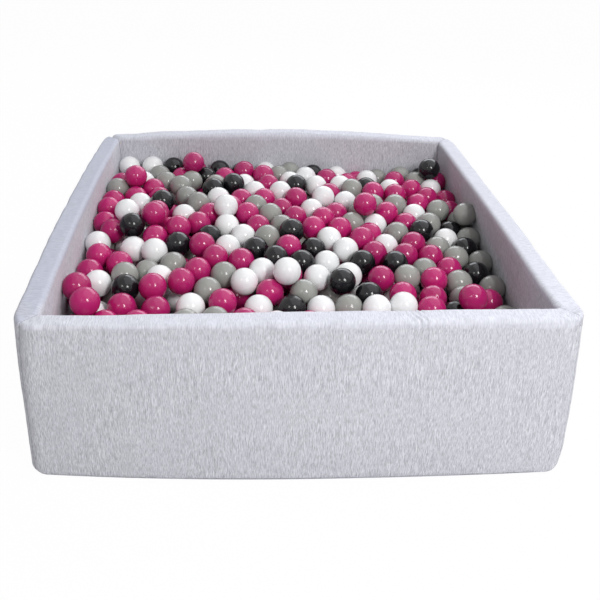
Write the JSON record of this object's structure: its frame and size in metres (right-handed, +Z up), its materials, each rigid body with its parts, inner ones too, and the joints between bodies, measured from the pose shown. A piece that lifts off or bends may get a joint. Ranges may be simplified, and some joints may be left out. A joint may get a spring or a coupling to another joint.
{
  "type": "foam ball pit",
  "caption": "Square low play pit of foam wall boards and a floor mat in a zipped grey jersey cover, filled with small plastic balls.",
  "frame": {"origin": "middle of the underside, on the floor the pit stands on", "axes": "+Z up, -Y towards the front of the picture, +X to its right"},
  "size_m": [1.236, 1.2295, 0.4036],
  "materials": {
    "ball_black": "glossy black polyethylene",
    "ball_white": "glossy white polyethylene",
    "ball_grey": "glossy mid-grey polyethylene",
    "ball_magenta": "glossy magenta polyethylene",
    "jersey": "heathered pale grey stretch jersey",
    "foam": "open-cell foam",
    "zip_tape": "woven tape",
    "zip_teeth": "satin nylon coil",
    "zip_metal": "satin plated metal"
  },
  "bodies": {
    "root": {"cover_front": "jersey", "cover_right": "jersey", "cover_back": "jersey", "cover_left": "jersey", "cover_base": "jersey", "cover_floor": "jersey", "foam_wall_front": "foam", "foam_wall_right": "foam", "foam_wall_back": "foam", "foam_wall_left": "foam", "foam_floor": "foam", "zip_tape_upper": "zip_tape", "zip_tape_lower": "zip_tape", "zip_teeth_upper": "zip_teeth", "zip_teeth_lower": "zip_teeth", "zip_stop_closed_end": "zip_metal", "zip_stop_open_end": "zip_metal", "ball_bed": "ball_grey"},
    "zip_slider": {"zip_slider": "zip_metal"},
    "zip_pull": {"zip_pull": "zip_metal"},
    "ball_black_01": {"ball_black_01": "ball_black"},
    "ball_black_02": {"ball_black_02": "ball_black"},
    "ball_black_03": {"ball_black_03": "ball_black"},
    "ball_black_04": {"ball_black_04": "ball_black"},
    "ball_black_05": {"ball_black_05": "ball_black"},
    "ball_black_06": {"ball_black_06": "ball_black"},
    "ball_black_07": {"ball_black_07": "ball_black"},
    "ball_black_08": {"ball_black_08": "ball_black"},
    "ball_black_09": {"ball_black_09": "ball_black"},
    "ball_black_10": {"ball_black_10": "ball_black"},
    "ball_white_01": {"ball_white_01": "ball_white"},
    "ball_white_02": {"ball_white_02": "ball_white"},
    "ball_white_03": {"ball_white_03": "ball_white"},
    "ball_white_04": {"ball_white_04": "ball_white"},
    "ball_white_05": {"ball_white_05": "ball_white"},
    "ball_grey_01": {"ball_grey_01": "ball_grey"},
    "ball_grey_02": {"ball_grey_02": "ball_grey"},
    "ball_grey_03": {"ball_grey_03": "ball_grey"},
    "ball_grey_04": {"ball_grey_04": "ball_grey"},
    "ball_magenta_01": {"ball_magenta_01": "ball_magenta"},
    "ball_magenta_02": {"ball_magenta_02": "ball_magenta"},
    "ball_magenta_03": {"ball_magenta_03": "ball_magenta"},
    "ball_magenta_04": {"ball_magenta_04": "ball_magenta"},
    "ball_magenta_05": {"ball_magenta_05": "ball_magenta"}
  },
  "joints": [
    {"name": "zip_run", "type": "hinge", "parent": "root", "child": "zip_slider", "pos_m": [0, -8.031, 0], "axis": [0, 0, 1], "range_deg": [0, 5.41]},
    {"name": "pull_swing", "type": "hinge", "parent": "zip_slider", "child": "zip_pull", "pos_m": [0.4087, 0.61259, 0.056], "axis": [0, 0, 1], "range_deg": [0, 170]},
    {"name": "lift_black_01", "type": "slide", "parent": "root", "child": "ball_black_01", "axis": [0, 0, 1], "range_m": [0, 0.25]},
    {"name": "lift_black_02", "type": "slide", "parent": "root", "child": "ball_black_02", "axis": [0, 0, 1], "range_m": [0, 0.25]},
    {"name": "lift_black_03", "type": "slide", "parent": "root", "child": "ball_black_03", "axis": [0, 0, 1], "range_m": [0, 0.25]},
    {"name": "lift_black_04", "type": "slide", "parent": "root", "child": "ball_black_04", "axis": [0, 0, 1], "range_m": [0, 0.25]},
    {"name": "lift_black_05", "type": "slide", "parent": "root", "child": "ball_black_05", "axis": [0, 0, 1], "range_m": [0, 0.25]},
    {"name": "lift_black_06", "type": "slide", "parent": "root", "child": "ball_black_06", "axis": [0, 0, 1], "range_m": [0, 0.25]},
    {"name": "lift_black_07", "type": "slide", "parent": "root", "child": "ball_black_07", "axis": [0, 0, 1], "range_m": [0, 0.25]},
    {"name": "lift_black_08", "type": "slide", "parent": "root", "child": "ball_black_08", "axis": [0, 0, 1], "range_m": [0, 0.25]},
    {"name": "lift_black_09", "type": "slide", "parent": "root", "child": "ball_black_09", "axis": [0, 0, 1], "range_m": [0, 0.25]},
    {"name": "lift_black_10", "type": "slide", "parent": "root", "child": "ball_black_10", "axis": [0, 0, 1], "range_m": [0, 0.25]},
    {"name": "lift_white_01", "type": "slide", "parent": "root", "child": "ball_white_01", "axis": [0, 0, 1], "range_m": [0, 0.25]},
    {"name": "lift_white_02", "type": "slide", "parent": "root", "child": "ball_white_02", "axis": [0, 0, 1], "range_m": [0, 0.25]},
    {"name": "lift_white_03", "type": "slide", "parent": "root", "child": "ball_white_03", "axis": [0, 0, 1], "range_m": [0, 0.25]},
    {"name": "lift_white_04", "type": "slide", "parent": "root", "child": "ball_white_04", "axis": [0, 0, 1], "range_m": [0, 0.25]},
    {"name": "lift_white_05", "type": "slide", "parent": "root", "child": "ball_white_05", "axis": [0, 0, 1], "range_m": [0, 0.25]},
    {"name": "lift_grey_01", "type": "slide", "parent": "root", "child": "ball_grey_01", "axis": [0, 0, 1], "range_m": [0, 0.25]},
    {"name": "lift_grey_02", "type": "slide", "parent": "root", "child": "ball_grey_02", "axis": [0, 0, 1], "range_m": [0, 0.25]},
    {"name": "lift_grey_03", "type": "slide", "parent": "root", "child": "ball_grey_03", "axis": [0, 0, 1], "range_m": [0, 0.25]},
    {"name": "lift_grey_04", "type": "slide", "parent": "root", "child": "ball_grey_04", "axis": [0, 0, 1], "range_m": [0, 0.25]},
    {"name": "lift_magenta_01", "type": "slide", "parent": "root", "child": "ball_magenta_01", "axis": [0, 0, 1], "range_m": [0, 0.25]},
    {"name": "lift_magenta_02", "type": "slide", "parent": "root", "child": "ball_magenta_02", "axis": [0, 0, 1], "range_m": [0, 0.25]},
    {"name": "lift_magenta_03", "type": "slide", "parent": "root", "child": "ball_magenta_03", "axis": [0, 0, 1], "range_m": [0, 0.25]},
    {"name": "lift_magenta_04", "type": "slide", "parent": "root", "child": "ball_magenta_04", "axis": [0, 0, 1], "range_m": [0, 0.25]},
    {"name": "lift_magenta_05", "type": "slide", "parent": "root", "child": "ball_magenta_05", "axis": [0, 0, 1], "range_m": [0, 0.25]}
  ]
}
